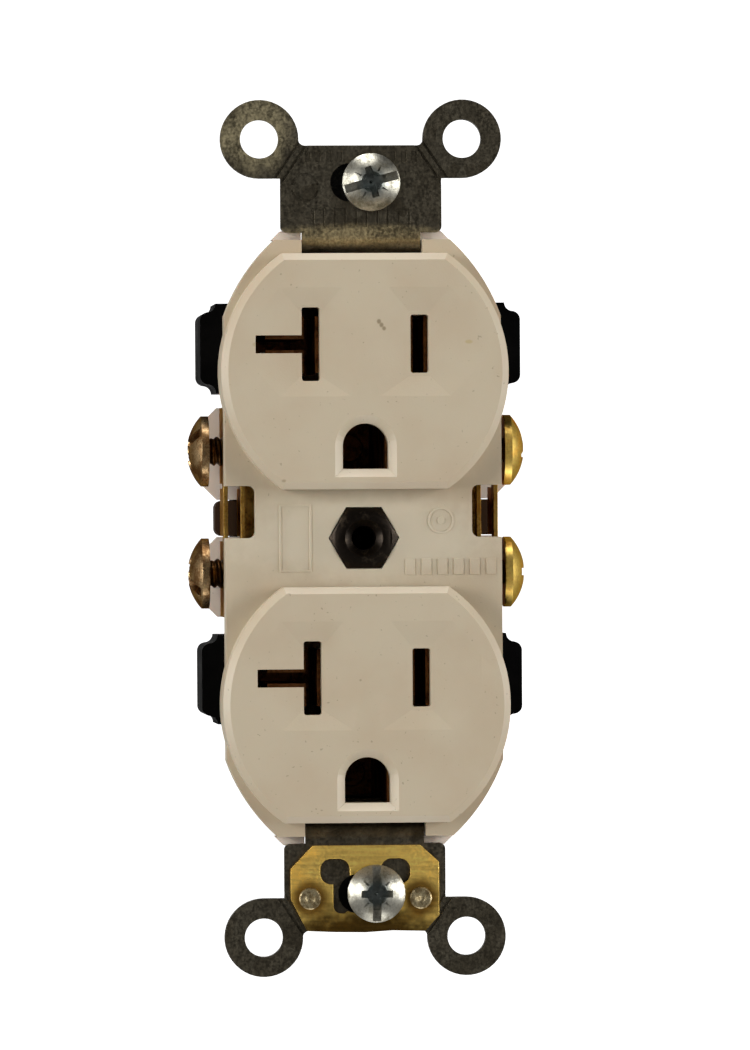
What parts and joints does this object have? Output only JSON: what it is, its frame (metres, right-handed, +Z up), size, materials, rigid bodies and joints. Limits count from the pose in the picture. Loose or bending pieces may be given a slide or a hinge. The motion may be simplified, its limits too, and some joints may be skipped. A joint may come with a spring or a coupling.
{
  "type": "duplex wall outlet",
  "caption": "Grounded duplex wall outlet: two raised faces with T-shaped neutral slots on a wrap-around steel strap with break-off ears, side terminal screws and captive mounting screws.",
  "frame": {"origin": "on the axis of the wall-plate screw, in the plane of the wall (the backs of the ears)", "axes": "+X to the right and +Z up when the outlet is seen from the room; the outlet faces look towards -Y"},
  "size_m": [0.0396, 0.0351, 0.1026],
  "materials": {
    "ivory_nylon": "fine moulded nylon, slightly glossy",
    "white_nylon": "moulded nylon",
    "black_nylon": "glass-filled moulding",
    "galvanised_steel": "galvanised, mottled",
    "blackened_steel": "black oxide",
    "brass_strip": "rolled brass",
    "contact_brass": "spring brass",
    "clip_brass": "satin rolled brass",
    "nickel_screw": "nickel plate",
    "brass_screw": "brass plate",
    "green_screw": "green dye on zinc plate",
    "zinc_screw": "bright zinc plate",
    "rivet_steel": "staked steel",
    "fibre": "black vulcanised fibre"
  },
  "bodies": {
    "housing": {"front_cover": "ivory_nylon", "terminal_frame": "white_nylon", "back_body": "black_nylon", "mounting_strap": "galvanised_steel", "hex_post": "blackened_steel", "neutral_terminal_strip": "brass_strip", "hot_terminal_strip": "brass_strip", "terminal_rivets": "brass_strip", "neutral_contact_upper": "contact_brass", "neutral_contact_lower": "contact_brass", "hot_contact_upper": "contact_brass", "hot_contact_lower": "contact_brass", "ground_contact_upper": "contact_brass", "ground_contact_lower": "contact_brass", "ground_contact_rivets": "contact_brass", "ground_clip": "clip_brass", "ground_clip_rivets": "rivet_steel"},
    "neutral_screw_upper": {"neutral_screw_upper": "nickel_screw"},
    "neutral_screw_lower": {"neutral_screw_lower": "nickel_screw"},
    "hot_screw_upper": {"hot_screw_upper": "brass_screw"},
    "hot_screw_lower": {"hot_screw_lower": "brass_screw"},
    "ground_screw": {"ground_screw": "green_screw"},
    "screw_retainer_top": {"screw_retainer_top": "fibre"},
    "screw_retainer_bottom": {"screw_retainer_bottom": "fibre"},
    "mounting_screw_top": {"mounting_screw_top": "zinc_screw"},
    "mounting_screw_bottom": {"mounting_screw_bottom": "zinc_screw"}
  },
  "joints": [
    {"name": "neutral_screw_upper_travel", "type": "slide", "parent": "housing", "child": "neutral_screw_upper", "axis": [-1, 0, 0], "range_m": [-0.0015, 0.0024]},
    {"name": "neutral_screw_lower_travel", "type": "slide", "parent": "housing", "child": "neutral_screw_lower", "axis": [-1, 0, 0], "range_m": [-0.0015, 0.0024]},
    {"name": "hot_screw_upper_travel", "type": "slide", "parent": "housing", "child": "hot_screw_upper", "axis": [1, 0, 0], "range_m": [-0.00085, 0.0031]},
    {"name": "hot_screw_lower_travel", "type": "slide", "parent": "housing", "child": "hot_screw_lower", "axis": [1, 0, 0], "range_m": [-0.00085, 0.0031]},
    {"name": "ground_screw_travel", "type": "slide", "parent": "housing", "child": "ground_screw", "axis": [0, 1, 0], "range_m": [-0.00005, 0.005]},
    {"name": "retainer_top_shift", "type": "slide", "parent": "housing", "child": "screw_retainer_top", "axis": [1, 0, 0], "range_m": [-0.0029, 0.0006]},
    {"name": "retainer_bottom_shift", "type": "slide", "parent": "housing", "child": "screw_retainer_bottom", "axis": [1, 0, 0], "range_m": [-0.0026, 0.0001]},
    {"name": "mounting_screw_top_travel", "type": "slide", "parent": "screw_retainer_top", "child": "mounting_screw_top", "axis": [0, -1, 0], "range_m": [0, 0.012]},
    {"name": "mounting_screw_bottom_travel", "type": "slide", "parent": "screw_retainer_bottom", "child": "mounting_screw_bottom", "axis": [0, -1, 0], "range_m": [0, 0.012]}
  ]
}
